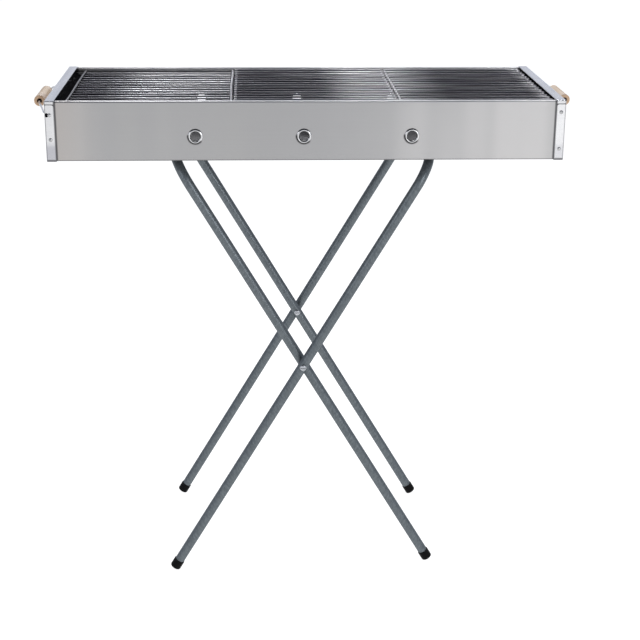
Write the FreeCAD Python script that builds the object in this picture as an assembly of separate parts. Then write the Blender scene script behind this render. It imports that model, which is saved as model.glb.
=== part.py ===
import FreeCAD, Part
import math
import os

from FreeCAD import Vector

os.makedirs("parts", exist_ok=True)

# ---------------------------------------------------------------------------
# Folding camp grill: an open sheet-steel trough on a folding X stand of two
# bent tube frames, with lift-out wire grates and a roller grip at each end.
# Millimetres. +X along the trough, +Y to the back, +Z up. The origin is on the
# ground, under the centre of the trough.
# ---------------------------------------------------------------------------

# Trough
BODY_LENGTH = 800.0      # over the two end panels
BODY_DEPTH = 330.0       # over the front and rear walls
BODY_HEIGHT = 92.0       # underside of the floor to the top of the lips
RIM_HEIGHT = 808.0       # ground to the top of the lips
SHEET = 1.0              # sheet thickness
LIP_WIDTH = 12.0         # folded rim lip, front and rear
LIP_RETURN = 4.5         # edge of the lip, turned down
BEND_RADIUS = 1.5        # middle of the sheet

# End caps
CAP_FLANGE = 15.0        # width of the flanges round the end panel
CAP_TAB = 4.0            # front edge of the top flange, turned down
CAP_SEAM = 1.2           # gap between that tab and the front flange
CAP_CORNER = 4.5         # rounded corner of the front flange
CAP_EDGE_RADIUS = 1.5
HOOK_SLOT = (4.6, 6.6)   # width and height of the slot beside the wire hook

# Rivets, as height below the rim on each end cap (upper, lower)
RIVET_DROP = {"left": (20.6, 58.6), "right": (17.6, 75.0)}
RIVET_INSET = 7.6        # from the end panel's outer face
RIVET_HEAD = 3.0         # radius of the domed head
RIVET_RISE = 1.5
RIVET_SHANK = 1.6
RIVET_TAIL = 2.4
RIVET_TAIL_RISE = 1.4
RIVET_TAIL_EDGE = 0.6
RIVET_CLEARANCE = 0.05   # radial, in the sheets' holes

# Air vents
VENT_SPACING = 167.0
VENT_MIDDLE = -5.0       # middle vent, along the trough
VENT_ABOVE_FLOOR = 38.0
VENT_HOLE = 8.6          # radius of the hole in the wall
VENT_OUTLINE = (         # eyelet section: radius from its axis, distance out from the wall
    (7.5, -1.8), (7.5, 1.0), (8.2, 2.15), (9.6, 2.5), (11.4, 1.65), (12.0, 0.0), (11.2, 0.0),
    (10.75, 1.15), (9.6, 1.7), (8.75, 1.4), (8.5, 0.8), (8.5, -1.0), (10.5, -1.0), (10.5, -1.8),
)
VENT_ARCS = (1, 3, 6, 8)  # outline points where an arc through the next two points starts

# Grates
GRATES = {               # left end, right end, and whether the long bars are uppermost
    "left": (-373.0, -114.5, False),
    "centre": (-113.0, 142.0, True),
    "right": (143.5, 383.0, True),
}
BAR_COUNT = 14
BAR_PITCH = 21.5
BAR_RADIUS = 1.5
CROSS_RADIUS = 1.75
CROSS_REACH = 151.0      # half-length of a cross wire
CROSS_INSET = 3.0        # cross wires, from the bars' ends
WELD_SINK = 0.4          # depth that welded wires bite into each other
LEDGE_DROP = 6.3         # top of the grate ledges, below the rim
LEDGE_WIDTH = 16.0
LEDGE_LEG = 7.0
LEDGE_HALF_LENGTH = 384.0

# Carrying handles
GRIP_LENGTH = 91.0
GRIP_RADIUS = 9.0
GRIP_BORE = 3.4
GRIP_EDGE = 1.4
BAIL_RADIUS = 1.75
BAIL_DROP = 20.5         # wire centre below the rim
BAIL_REACH = 23.5        # grip axis out from the end panel
BAIL_HALF_SPAN = 146.0   # wire ends, from the middle of the panel
BAIL_STAND_OFF = 2.9     # wire centre out from the panel at the hook
BAIL_BEND = 3.2
BAIL_SLOPE = 5.0         # from the grip's end to where the bow slopes back
BAIL_TAIL = 4.5          # wire end inside the panel
BAIL_STOP_RADIUS = 3.0   # upset collar behind the panel
BAIL_STOP_THICK = 1.2
BAIL_STOP_GAP = 0.1
BAIL_CLEARANCE = 0.3

# Folding stand
TUBE_RADIUS = 8.0
TUBE_WALL = 1.2
TUBE_BEND = 47.0         # middle-line radius of the U bends
STAND_X = -5.0           # crossing, along the trough
PIVOT_HEIGHT = 369.0
LEAN = math.atan(0.596)  # each leg from the vertical
OUTER_HALF_WIDTH = 149.0
INNER_HALF_WIDTH = 131.0
BAR_GAP = 0.3            # top bars to the trough's floor
FOOT_RADIUS = 9.1
FOOT_EDGE = 3.0          # rounding of the foot's end
FOOT_LIP_EDGE = 0.55     # rounding of its mouth
FOOT_LENGTH = 16.5
FOOT_SOLE = 2.6          # rubber under the tube's end
FOOT_WEAR = 0.9          # depth of the flat that the foot stands on
PIVOT_RADIUS = 3.0
PIVOT_HOLE = 3.06
PIVOT_HEAD = 5.3
PIVOT_HEAD_RISE = 3.4
PIVOT_HEAD_EDGE = 2.2
PIVOT_HEAD_SEAT = 0.05   # rear bolt's head, or front nut, to the inner tube
PIVOT_SLOT = 1.2         # width and depth of the driver slot
PIVOT_TAIL = 2.0         # bolt past the nut
PIVOT_CHAMFER = 0.6
WASHER_RADIUS = 7.0
WASHER_THICK = 1.4
NUT_FLATS = 10.0
NUT_HEIGHT = 5.0
RUNNING_GAP = 0.3

# Stand brackets under the floor
BRACKET_SHEET = 1.5
BRACKET_WIDTH = 18.0
BRACKET_FLANGE = 13.0
BRACKET_BEND = 2.0
BRACKET_Y = 74.0
SADDLE_GAP = 0.06        # running fit of the hinge bar in its saddles
HOOK_LIP = 9.0           # lower arm of the stop bracket past the bar's middle

HALF_LENGTH = BODY_LENGTH / 2
HALF_DEPTH = BODY_DEPTH / 2
FLOOR_UNDER = RIM_HEIGHT - BODY_HEIGHT
CAP_TOP = RIM_HEIGHT + SHEET
CAP_BOTTOM = FLOOR_UNDER - SHEET
CAP_FACE = HALF_DEPTH + SHEET
VENT_Z = FLOOR_UNDER + VENT_ABOVE_FLOOR
LEDGE_TOP = RIM_HEIGHT - LEDGE_DROP
BAIL_Z = RIM_HEIGHT - BAIL_DROP
BAR_Z = FLOOR_UNDER - BAR_GAP - TUBE_RADIUS
BAR_SHIFT = (BAR_Z - PIVOT_HEIGHT) * math.tan(LEAN)
FOOT_DROP = (FOOT_RADIUS - FOOT_EDGE) * math.sin(LEAN) + FOOT_EDGE * (1 - math.cos(LEAN))
FOOT_END = FOOT_DROP - FOOT_WEAR    # height of the middle of the foot's end
SIDES = {"left": -1, "right": 1}
VENT_PLACES = {"left": -1, "centre": 0, "right": 1}
X_AXIS = Vector(1, 0, 0)
Y_AXIS = Vector(0, 1, 0)
Z_AXIS = Vector(0, 0, 1)


def save(shape, node):
    """Writes one sub-part and says how large it is."""
    shape.exportStep(os.path.join("parts", node + ".step"))
    print(node, len(shape.Solids), "solids", round(shape.Volume, 1), "mm3", shape.isValid())


def cylinder(radius, length, start, direction):
    return Part.makeCylinder(radius, length, start, direction)


def box(low, high):
    size = Vector(*high) - Vector(*low)
    return Part.makeBox(size.x, size.y, size.z, Vector(*low))


def rounded_path(points, radius):
    """Straight runs joined by tangent arcs of one radius at each inner point."""
    edges = []
    start = points[0]
    for before, corner, after in zip(points, points[1:], points[2:]):
        back = (before - corner).normalize()
        ahead = (after - corner).normalize()
        half = back.getAngle(ahead) / 2
        reach = radius / math.tan(half)
        enter = corner + back * reach
        leave = corner + ahead * reach
        inward = (back + ahead).normalize()
        middle = corner + inward * (radius / math.sin(half) - radius)
        edges.append(Part.LineSegment(start, enter).toShape())
        edges.append(Part.Arc(enter, middle, leave).toShape())
        start = leave
    edges.append(Part.LineSegment(start, points[-1]).toShape())
    return Part.Wire(edges)


def rod(points, bend, radius):
    """A round bar along a rounded path."""
    path = rounded_path(points, bend)
    ring = Part.Wire(Part.makeCircle(radius, points[0], points[1] - points[0]))
    return path.makePipeShell([ring], True, False)


def bent_sheet(points, bend, thickness):
    """A face: the cross-section of a bent sheet, offset to both sides of its middle line."""
    path = rounded_path(points, bend)
    one = path.makeOffset2D(thickness / 2, 0, False, True)
    other = path.makeOffset2D(-thickness / 2, 0, False, True)
    ends = []
    for place in (0, -1):
        first = one.OrderedVertexes[place].Point
        second = other.OrderedVertexes[place].Point
        ends.append(Part.LineSegment(first, second).toShape())
    edges = one.Edges + other.Edges + ends
    return Part.Face(Part.Wire(Part.__sortEdges__(edges)))


def revolved(outline, centre, axis_direction):
    """A ring or dome turned from a closed outline of edges."""
    face = Part.Face(Part.Wire(outline))
    return face.revolve(centre, axis_direction, 360)


def polyline(points):
    """Straight edges through the points, closed."""
    loop = points + [points[0]]
    return [Part.LineSegment(a, b).toShape() for a, b in zip(loop, loop[1:])]


# ------------------------------------------------------------------- trough

def rivet_places(side):
    """Positions of one end cap's rivets on the front face: (x, z)."""
    x = SIDES[side] * (HALF_LENGTH - RIVET_INSET)
    return [(x, RIM_HEIGHT - drop) for drop in RIVET_DROP[side]]


def through_holes(places, radius):
    """Round cutters through both long walls at each (x, z)."""
    reach = HALF_DEPTH + 10
    start = -reach
    return [cylinder(radius, 2 * reach, Vector(x, start, z), Y_AXIS) for x, z in places]


def bracket_rivet_places():
    """Rivets that hold the saddles and stop brackets to the floor: (x, y)."""
    flange_middle = TUBE_RADIUS + BRACKET_SHEET + BRACKET_FLANGE / 2
    saddle_x = STAND_X + BAR_SHIFT
    stop_x = STAND_X - BAR_SHIFT
    places = []
    for y in (-BRACKET_Y, BRACKET_Y):
        places.append((saddle_x - flange_middle, y))
        places.append((saddle_x + flange_middle, y))
        places.append((stop_x - flange_middle, y - BRACKET_WIDTH / 4))
        places.append((stop_x - flange_middle, y + BRACKET_WIDTH / 4))
    return places


def hook_slot():
    """Cutter for the slot in the left cap's front flange and the wall behind it."""
    width, height = HOOK_SLOT
    middle = -HALF_LENGTH + SHEET + width / 2
    low_y = -CAP_FACE - 4
    slot = box((middle - width / 2, low_y, BAIL_Z - height / 2),
               (middle + width / 2, low_y + 8, BAIL_Z + height / 2))
    corners = [e for e in slot.Edges if abs(e.tangentAt(e.FirstParameter).y) > 0.9]
    return slot.makeFillet(width / 2 - 0.2, corners)


def trough_shell():
    """Front wall, floor and rear wall in one bent sheet, with folded lips."""
    wall = HALF_DEPTH - SHEET / 2
    lip = HALF_DEPTH - LIP_WIDTH + SHEET / 2
    rim = RIM_HEIGHT - SHEET / 2
    floor = FLOOR_UNDER + SHEET / 2
    half = [(lip, rim - LIP_RETURN), (lip, rim), (wall, rim), (wall, floor)]
    start = -HALF_LENGTH + SHEET
    front = [Vector(start, -y, z) for y, z in half]
    rear = [Vector(start, y, z) for y, z in reversed(half)]
    section = bent_sheet(front + rear, BEND_RADIUS, SHEET)
    shell = section.extrude(Vector(BODY_LENGTH - 2 * SHEET, 0, 0))
    vents = [(vent_x(n), VENT_Z) for n in VENT_PLACES.values()]
    cutters = through_holes(vents, VENT_HOLE)
    for side in SIDES:
        cutters += through_holes(rivet_places(side), RIVET_SHANK + RIVET_CLEARANCE)
    for x, y in bracket_rivet_places():
        cutters.append(cylinder(RIVET_SHANK + RIVET_CLEARANCE, 6, Vector(x, y, FLOOR_UNDER - 3), Z_AXIS))
    cutters.append(hook_slot())
    return shell.cut(Part.makeCompound(cutters))


def rounded_cap_block(low, high, outward, radius):
    """A box whose outer edges, on its end face and along its length, are rounded."""
    block = box(low, high)
    end_x = high[0] if outward > 0 else low[0]
    chosen = []
    for edge in block.Edges:
        middle = edge.CenterOfMass
        along_x = abs(edge.tangentAt(edge.FirstParameter).x) > 0.9
        if along_x or abs(middle.x - end_x) < 0.01:
            chosen.append(edge)
    return block.makeFillet(radius, chosen)


def end_cap(side):
    """End panel with flanges folded over the top, front, rear and underside of the trough."""
    outward = SIDES[side]
    outer_x = outward * HALF_LENGTH
    inner_x = outward * (HALF_LENGTH - CAP_FLANGE)
    low_x, high_x = sorted((outer_x, inner_x))
    block = rounded_cap_block((low_x, -CAP_FACE, CAP_BOTTOM), (high_x, CAP_FACE, CAP_TOP),
                              outward, CAP_EDGE_RADIUS)
    face_x = outward * (HALF_LENGTH - SHEET)
    open_x = outward * (HALF_LENGTH - CAP_FLANGE - 5)
    low_x, high_x = sorted((face_x, open_x))
    hollow = box((low_x, -HALF_DEPTH, FLOOR_UNDER), (high_x, HALF_DEPTH, RIM_HEIGHT))
    cap = block.cut(hollow)
    return cap.cut(Part.makeCompound(cap_cutters(side)))


def cap_cutters(side):
    """Seams, rounded flange corners, rivet holes, wire holes and slot of one end cap."""
    outward = SIDES[side]
    inner_x = outward * (HALF_LENGTH - CAP_FLANGE)
    seam_end = outward * (HALF_LENGTH - CAP_EDGE_RADIUS)
    seam_top = RIM_HEIGHT - CAP_TAB
    seam_low = seam_top - CAP_SEAM
    low_x, high_x = sorted((inner_x - outward, seam_end))
    cutters = []
    for face in (-1, 1):
        low_y, high_y = sorted((face * (HALF_DEPTH - 0.5), face * (CAP_FACE + 1)))
        cutters.append(box((low_x, low_y, seam_low), (high_x, high_y, seam_top)))
        middle = (seam_low + seam_top) / 2
        relief = Vector(seam_end, low_y, middle)
        cutters.append(cylinder(CAP_SEAM, high_y - low_y, relief, Y_AXIS))
        corner = box((min(inner_x, inner_x + outward * CAP_CORNER), low_y, seam_low - CAP_CORNER),
                     (max(inner_x, inner_x + outward * CAP_CORNER), high_y, seam_low))
        centre = Vector(inner_x + outward * CAP_CORNER, low_y - 1, seam_low - CAP_CORNER)
        cutters.append(corner.cut(cylinder(CAP_CORNER, high_y - low_y + 2, centre, Y_AXIS)))
        wire_hole = Vector(outward * (HALF_LENGTH - 3), face * BAIL_HALF_SPAN, BAIL_Z)
        cutters.append(cylinder(BAIL_RADIUS + BAIL_CLEARANCE, 6, wire_hole, X_AXIS * outward))
    cutters += through_holes(rivet_places(side), RIVET_SHANK + RIVET_CLEARANCE)
    if side == "left":
        cutters.append(hook_slot())
    return cutters


def rivet(place, outward, grip):
    """Domed rivet: head on the surface at place, shank through a stack of sheets, clinched tail."""
    bulge = (RIVET_HEAD ** 2 + RIVET_RISE ** 2) / (2 * RIVET_RISE)
    centre = place + outward * (RIVET_RISE - bulge)
    head = Part.makeSphere(bulge, centre)
    head = head.common(cylinder(RIVET_HEAD, RIVET_RISE + 1, place, outward))
    shank = cylinder(RIVET_SHANK, grip + 0.2, place + outward * 0.1, outward * -1)
    tail = cylinder(RIVET_TAIL, RIVET_TAIL_RISE, place - outward * grip, outward * -1)
    rim = [e for e in tail.Edges if abs((e.CenterOfMass - place).dot(outward)) > grip + 1]
    tail = tail.makeFillet(RIVET_TAIL_EDGE, [e for e in rim if e.Curve.TypeId == "Part::GeomCircle"])
    return head.fuse([shank, tail])


def cap_rivets(side):
    solids = []
    for x, z in rivet_places(side):
        for face in (-1, 1):
            place = Vector(x, face * CAP_FACE, z)
            solids.append(rivet(place, Y_AXIS * face, 2 * SHEET))
    return Part.makeCompound(solids)


def bracket_rivets():
    """Rivets through the floor, heads under the brackets."""
    stack = BRACKET_SHEET + SHEET
    under = FLOOR_UNDER - BRACKET_SHEET
    solids = [rivet(Vector(x, y, under), Z_AXIS * -1, stack) for x, y in bracket_rivet_places()]
    return Part.makeCompound(solids)


def vent_x(number):
    return VENT_MIDDLE + number * VENT_SPACING


def vent_eyelet(x, face):
    """Pressed eyelet: a domed ring outside the wall, a barrel, and a clinched ring inside."""
    loop = [Vector(x + r, face * (HALF_DEPTH + out), VENT_Z) for r, out in VENT_OUTLINE]
    loop.append(loop[0])
    outline = []
    n = 0
    while n < len(loop) - 1:
        if n in VENT_ARCS:
            outline.append(Part.Arc(loop[n], loop[n + 1], loop[n + 2]).toShape())
            n += 2
        else:
            outline.append(Part.LineSegment(loop[n], loop[n + 1]).toShape())
            n += 1
    return revolved(outline, Vector(x, 0, VENT_Z), Y_AXIS)


def grate_ledge(face):
    """Angle strip inside a long wall, which the cross wires rest on."""
    wall = HALF_DEPTH - SHEET
    inner = wall - LEDGE_WIDTH
    middle = SHEET / 2
    start = -LEDGE_HALF_LENGTH
    points = [
        Vector(start, face * inner, LEDGE_TOP - middle),
        Vector(start, face * (wall - middle), LEDGE_TOP - middle),
        Vector(start, face * (wall - middle), LEDGE_TOP - LEDGE_LEG),
    ]
    return bent_sheet(points, BEND_RADIUS, SHEET).extrude(Vector(2 * LEDGE_HALF_LENGTH, 0, 0))


# ------------------------------------------------------------------- grates

def grate(place):
    """Long bars welded to cross wires; the cross wires' ends rest on the ledges."""
    start, end, bars_on_top = GRATES[place]
    cross_z = LEDGE_TOP + CROSS_RADIUS
    spacing = BAR_RADIUS + CROSS_RADIUS - WELD_SINK
    bar_z = cross_z + spacing if bars_on_top else cross_z - spacing
    wires = []
    for n in range(BAR_COUNT):
        y = (n - (BAR_COUNT - 1) / 2) * BAR_PITCH
        wires.append(cylinder(BAR_RADIUS, end - start, Vector(start, y, bar_z), X_AXIS))
    for x in (start + CROSS_INSET, end - CROSS_INSET):
        wire_start = Vector(x, -CROSS_REACH, cross_z)
        wires.append(cylinder(CROSS_RADIUS, 2 * CROSS_REACH, wire_start, Y_AXIS))
    return wires[0].fuse(wires[1:])


# ------------------------------------------------------------------ handles

def bail_wire(side):
    """Bow of wire hooked into the end panel front and rear, level with the grip."""
    outward = SIDES[side]

    def at(out, y):
        return Vector(outward * (HALF_LENGTH + out), y, BAIL_Z)

    bow_corner = GRIP_LENGTH / 2 + BAIL_SLOPE
    points = [
        at(-BAIL_TAIL, -BAIL_HALF_SPAN), at(BAIL_STAND_OFF, -BAIL_HALF_SPAN),
        at(BAIL_REACH, -bow_corner), at(BAIL_REACH, bow_corner),
        at(BAIL_STAND_OFF, BAIL_HALF_SPAN), at(-BAIL_TAIL, BAIL_HALF_SPAN),
    ]
    wire = rod(points, BAIL_BEND, BAIL_RADIUS)
    stops = []
    for y in (-BAIL_HALF_SPAN, BAIL_HALF_SPAN):
        seat = at(-SHEET - BAIL_STOP_GAP, y)
        stops.append(cylinder(BAIL_STOP_RADIUS, BAIL_STOP_THICK, seat, X_AXIS * -outward))
    return wire.fuse(stops)


def grip(side):
    """Turned roller with eased ends, bored for the wire."""
    outward = SIDES[side]
    axis_x = outward * (HALF_LENGTH + BAIL_REACH)
    start = Vector(axis_x, -GRIP_LENGTH / 2, BAIL_Z)
    roller = cylinder(GRIP_RADIUS, GRIP_LENGTH, start, Y_AXIS)
    rims = [e for e in roller.Edges if e.Curve.TypeId == "Part::GeomCircle"]
    roller = roller.makeFillet(GRIP_EDGE, rims)
    return roller.cut(cylinder(GRIP_BORE, GRIP_LENGTH + 2, start - Y_AXIS, Y_AXIS))


# -------------------------------------------------------------------- stand

def leg_direction(outward):
    """Unit vector up a leg whose top is on the side given."""
    return Vector(outward * math.sin(LEAN), 0, math.cos(LEAN))


def on_leg(outward, height, y):
    """Point on the middle line of a leg at a height."""
    x = STAND_X + outward * (height - PIVOT_HEIGHT) * math.tan(LEAN)
    return Vector(x, y, height)


def leg_frame(outward, half_width):
    """U of tube: two legs and the bar across their tops, with bolt holes at the crossing."""
    low = FOOT_END + FOOT_SOLE * math.cos(LEAN)
    points = [
        on_leg(outward, low, -half_width), on_leg(outward, BAR_Z, -half_width),
        on_leg(outward, BAR_Z, half_width), on_leg(outward, low, half_width),
    ]
    outer = rod(points, TUBE_BEND, TUBE_RADIUS)
    inner = rod(points, TUBE_BEND, TUBE_RADIUS - TUBE_WALL)
    tube = outer.cut(inner)
    reach = half_width + 20
    hole = cylinder(PIVOT_HOLE, 2 * reach, Vector(STAND_X, -reach, PIVOT_HEIGHT), Y_AXIS)
    return tube.cut(hole)


def rings_at(shape, point, distance):
    """Circular edges whose middle is that far from a point."""
    circles = [e for e in shape.Edges if e.Curve.TypeId == "Part::GeomCircle"]
    return [e for e in circles if abs((e.Curve.Center - point).Length - distance) < 0.05]


def foot(outward, y):
    """Rubber cap on a leg's end: rounded end, blind socket, and a flat where it stands."""
    end = on_leg(outward, FOOT_END, y)
    up = leg_direction(outward)
    cap = cylinder(FOOT_RADIUS, FOOT_LENGTH, end, up)
    cap = cap.makeFillet(FOOT_EDGE, rings_at(cap, end, 0.0))
    cap = cap.makeFillet(FOOT_LIP_EDGE, rings_at(cap, end, FOOT_LENGTH))
    socket_floor = end + up * FOOT_SOLE
    cap = cap.cut(cylinder(TUBE_RADIUS, FOOT_LENGTH, socket_floor, up))
    ground = box((end.x - 40, end.y - 40, -40), (end.x + 40, end.y + 40, 0))
    return cap.cut(ground).removeSplitter()


def stack(face):
    """Y positions at one crossing, from the trough's middle outwards."""
    inner_out = face * (INNER_HALF_WIDTH + TUBE_RADIUS)
    outer_in = face * (OUTER_HALF_WIDTH - TUBE_RADIUS)
    return inner_out, outer_in


def pivot_bolt(face):
    """Pan-head bolt through both tubes, head to the front of its pair."""
    if face < 0:
        head_y = -(OUTER_HALF_WIDTH + TUBE_RADIUS + RUNNING_GAP)
        end_y = -(INNER_HALF_WIDTH - TUBE_RADIUS) + NUT_HEIGHT + PIVOT_TAIL
    else:
        head_y = INNER_HALF_WIDTH - TUBE_RADIUS - PIVOT_HEAD_SEAT
        end_y = OUTER_HALF_WIDTH + TUBE_RADIUS + RUNNING_GAP + NUT_HEIGHT + PIVOT_TAIL
    place = Vector(STAND_X, head_y, PIVOT_HEIGHT)
    shank = cylinder(PIVOT_RADIUS, end_y - head_y, place, Y_AXIS)
    shank = shank.makeChamfer(PIVOT_CHAMFER, rings_at(shank, place, end_y - head_y))
    head = cylinder(PIVOT_HEAD, PIVOT_HEAD_RISE, place, Y_AXIS * -1)
    head = head.makeFillet(PIVOT_HEAD_EDGE, rings_at(head, place, PIVOT_HEAD_RISE))
    top_y = head_y - PIVOT_HEAD_RISE
    half = PIVOT_SLOT / 2
    slot = box((STAND_X - PIVOT_HEAD - 1, top_y - 1, PIVOT_HEIGHT - half),
               (STAND_X + PIVOT_HEAD + 1, top_y + PIVOT_SLOT, PIVOT_HEIGHT + half))
    return shank.fuse(head.cut(slot))


def pivot_nut(face):
    """Domed-corner hexagon nut on the bolt's end."""
    if face < 0:
        seat = -(INNER_HALF_WIDTH - TUBE_RADIUS) + PIVOT_HEAD_SEAT
    else:
        seat = OUTER_HALF_WIDTH + TUBE_RADIUS + RUNNING_GAP
    corner = NUT_FLATS / math.sqrt(3)
    points = []
    for n in range(6):
        angle = math.radians(60 * n)
        x = STAND_X + corner * math.cos(angle)
        z = PIVOT_HEIGHT + corner * math.sin(angle)
        points.append(Vector(x, seat, z))
    hexagon = Part.Face(Part.Wire(polyline(points)))
    nut = hexagon.extrude(Vector(0, NUT_HEIGHT, 0))
    middle = Vector(STAND_X, seat - 1, PIVOT_HEIGHT)
    eased = Part.makeCone(corner + 2.5, corner - 0.6, NUT_HEIGHT + 1, middle, Y_AXIS)
    nut = nut.common(eased)
    return nut.cut(cylinder(PIVOT_RADIUS, NUT_HEIGHT + 4, middle, Y_AXIS))


def pivot_washer(face):
    """Spacer between the two tubes at a crossing."""
    inner_out, outer_in = stack(face)
    middle = (inner_out + outer_in) / 2
    start = Vector(STAND_X, middle - WASHER_THICK / 2, PIVOT_HEIGHT)
    disc = cylinder(WASHER_RADIUS, WASHER_THICK, start, Y_AXIS)
    return disc.cut(cylinder(PIVOT_HOLE, WASHER_THICK + 2, start - Y_AXIS, Y_AXIS))


def hinge_saddle(y):
    """Strap under the floor that carries the outer frame's bar as a hinge."""
    x = STAND_X + BAR_SHIFT
    inside = TUBE_RADIUS + SADDLE_GAP
    outside = inside + BRACKET_SHEET
    reach = TUBE_RADIUS + BRACKET_SHEET + BRACKET_FLANGE
    low_y = y - BRACKET_WIDTH / 2
    high_y = y + BRACKET_WIDTH / 2
    flange_low = FLOOR_UNDER - BRACKET_SHEET
    above = FLOOR_UNDER + 5

    def ring(radius, extra):
        start = Vector(x, low_y - extra, BAR_Z)
        return cylinder(radius, BRACKET_WIDTH + 2 * extra, start, Y_AXIS)

    sides = box((x - outside, low_y, BAR_Z), (x + outside, high_y, FLOOR_UNDER))
    flange = box((x - reach, low_y, flange_low), (x + reach, high_y, FLOOR_UNDER))
    strap = ring(outside, 0).fuse([sides, flange]).removeSplitter()
    space = box((x - inside, low_y - 1, BAR_Z), (x + inside, high_y + 1, above))
    lid = box((x - reach, low_y - 1, FLOOR_UNDER), (x + reach, high_y + 1, above))
    strap = strap.cut(ring(inside, 1)).cut(space).cut(lid)
    return strap.cut(Part.makeCompound(floor_rivet_holes()))


def floor_rivet_holes():
    """Cutters for the rivets' holes through the brackets."""
    holes = []
    for x, y in bracket_rivet_places():
        holes.append(cylinder(RIVET_SHANK + RIVET_CLEARANCE, 8, Vector(x, y, FLOOR_UNDER - 5), Z_AXIS))
    return holes


def stop_bracket(y):
    """Hook under the floor, closed at the left, that the inner frame's bar rests in."""
    x = STAND_X - BAR_SHIFT
    inside = TUBE_RADIUS + RUNNING_GAP
    low_y = y - BRACKET_WIDTH / 2
    middle = inside + BRACKET_SHEET / 2
    flange_z = FLOOR_UNDER - BRACKET_SHEET / 2
    reach = x - TUBE_RADIUS - BRACKET_SHEET - BRACKET_FLANGE
    turned = [
        Vector(reach, low_y, flange_z), Vector(x - middle, low_y, flange_z),
        Vector(x - middle, low_y, BAR_Z - middle), Vector(x + HOOK_LIP, low_y, BAR_Z - middle),
    ]
    section = bent_sheet(turned, BRACKET_BEND, BRACKET_SHEET)
    bracket = section.extrude(Vector(0, BRACKET_WIDTH, 0))
    return bracket.cut(Part.makeCompound(floor_rivet_holes()))


# --------------------------------------------------------------------- make

def make_trough():
    save(trough_shell(), "trough_shell")
    for side in SIDES:
        save(end_cap(side), side + "_end_cap")
        save(cap_rivets(side), side + "_cap_rivets")
        save(bail_wire(side), side + "_bail_wire")
        save(grip(side), side + "_grip")
    for wall, face in (("front", -1), ("rear", 1)):
        for place, n in VENT_PLACES.items():
            save(vent_eyelet(vent_x(n), face), wall + "_vent_" + place)
        save(grate_ledge(face), wall + "_grate_ledge")
        save(hinge_saddle(face * BRACKET_Y), wall + "_hinge_saddle")
        save(stop_bracket(face * BRACKET_Y), wall + "_stop_bracket")
    save(bracket_rivets(), "bracket_rivets")


def make_grates():
    for place in GRATES:
        save(grate(place), place + "_grate")


def make_stand():
    save(leg_frame(1, OUTER_HALF_WIDTH), "outer_leg_frame")
    save(leg_frame(-1, INNER_HALF_WIDTH), "inner_leg_frame")
    for name, face in (("front", -1), ("rear", 1)):
        save(foot(1, face * OUTER_HALF_WIDTH), name + "_outer_foot")
        save(foot(-1, face * INNER_HALF_WIDTH), name + "_inner_foot")
        save(pivot_bolt(face), name + "_pivot_bolt")
        save(pivot_nut(face), name + "_pivot_nut")
        save(pivot_washer(face), name + "_pivot_washer")


make_trough()
make_grates()
make_stand()
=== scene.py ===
import math

import bpy
import numpy as np
from mathutils import Matrix, Vector


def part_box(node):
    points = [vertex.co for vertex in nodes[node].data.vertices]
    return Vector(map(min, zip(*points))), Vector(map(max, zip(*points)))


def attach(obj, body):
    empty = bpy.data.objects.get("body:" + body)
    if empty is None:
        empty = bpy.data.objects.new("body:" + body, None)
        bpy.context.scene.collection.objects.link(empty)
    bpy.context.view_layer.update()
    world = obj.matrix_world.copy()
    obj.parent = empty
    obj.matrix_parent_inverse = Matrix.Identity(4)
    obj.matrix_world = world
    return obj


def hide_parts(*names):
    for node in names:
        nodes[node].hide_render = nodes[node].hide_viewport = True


# ---------------------------------------------------------------------------
# Looks of a folding camp grill: brushed steel trough with bright end caps,
# wire grates, turned beech grips, and a folding stand of hammer-painted tube.
# Metres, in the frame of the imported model: +X along the trough, +Y to the
# back, +Z up.
# ---------------------------------------------------------------------------

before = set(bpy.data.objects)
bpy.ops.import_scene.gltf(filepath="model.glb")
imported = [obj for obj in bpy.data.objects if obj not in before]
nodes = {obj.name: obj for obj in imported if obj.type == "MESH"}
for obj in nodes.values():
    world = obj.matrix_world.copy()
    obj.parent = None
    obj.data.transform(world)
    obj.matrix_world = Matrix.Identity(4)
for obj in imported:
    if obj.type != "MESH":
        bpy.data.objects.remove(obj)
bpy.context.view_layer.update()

# Grates
BAR_COUNT = 14
BAR_PITCH = 0.0215
BAR_RADIUS = 0.0015
CROSS_RADIUS = 0.00175
CROSS_INSET = 0.003         # cross wires, from the bars' ends
CROSS_BEND = 0.0005         # a cross wire's bend along the trough
BARS_ON_TOP = {"left": False, "centre": True, "right": True}
GRATE_SAG = 0.0006          # middle of a cross wire below its ends
BAR_SWAY = 0.0004           # a bar's bend to the side
BAR_BOW = 0.00022           # and up or down
SWAY_WAVES, BOW_WAVES, BEND_WAVES = 2.6, 3.1, 2.3       # half waves along a wire
TIP_DROP = {"left": 0.0, "centre": 0.0004, "right": 0.0012}
TIP_REACH = 0.012           # length of the drooping tip
WELD_SIZE = (0.0021, 0.0022, 0.0013)                    # half of it each way
WELD_SCATTER = 0.00018
WIRE_SIDES = 14
BAR_STEPS = 44
CROSS_STEPS = 60

# Grips
GRIP_BORE = 0.0034
GRIP_EASE = 0.0022
GRIP_WAIST = 0.00012        # how far the middle is turned down
BORE_CHAMFER = 0.0006
GRIP_STEPS = 26             # along the turned surface

# Feet
LEAN = math.atan(0.596)     # each leg from the vertical
FOOT_RADIUS = 0.0091
FOOT_LENGTH = 0.0165
FOOT_SOCKET = 0.00805
FOOT_SOLE = 0.0025
FOOT_END = 0.002646         # height of the middle of the foot's end
SOLE_EASE = 0.0034
FOOT_BEAD = 0.0032          # groove's start, back from the mouth
GROOVE = (0.0004, 0.00035)  # half its width, and its depth

# Grips, feet and vents
SHARP_EASE = 0.0003         # corners that are only just broken
CORNER_STEPS = 9            # points round an eased corner
ROUND_SIDES = 72            # of the grips and the eyelets
FOOT_SIDES = 64

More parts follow.
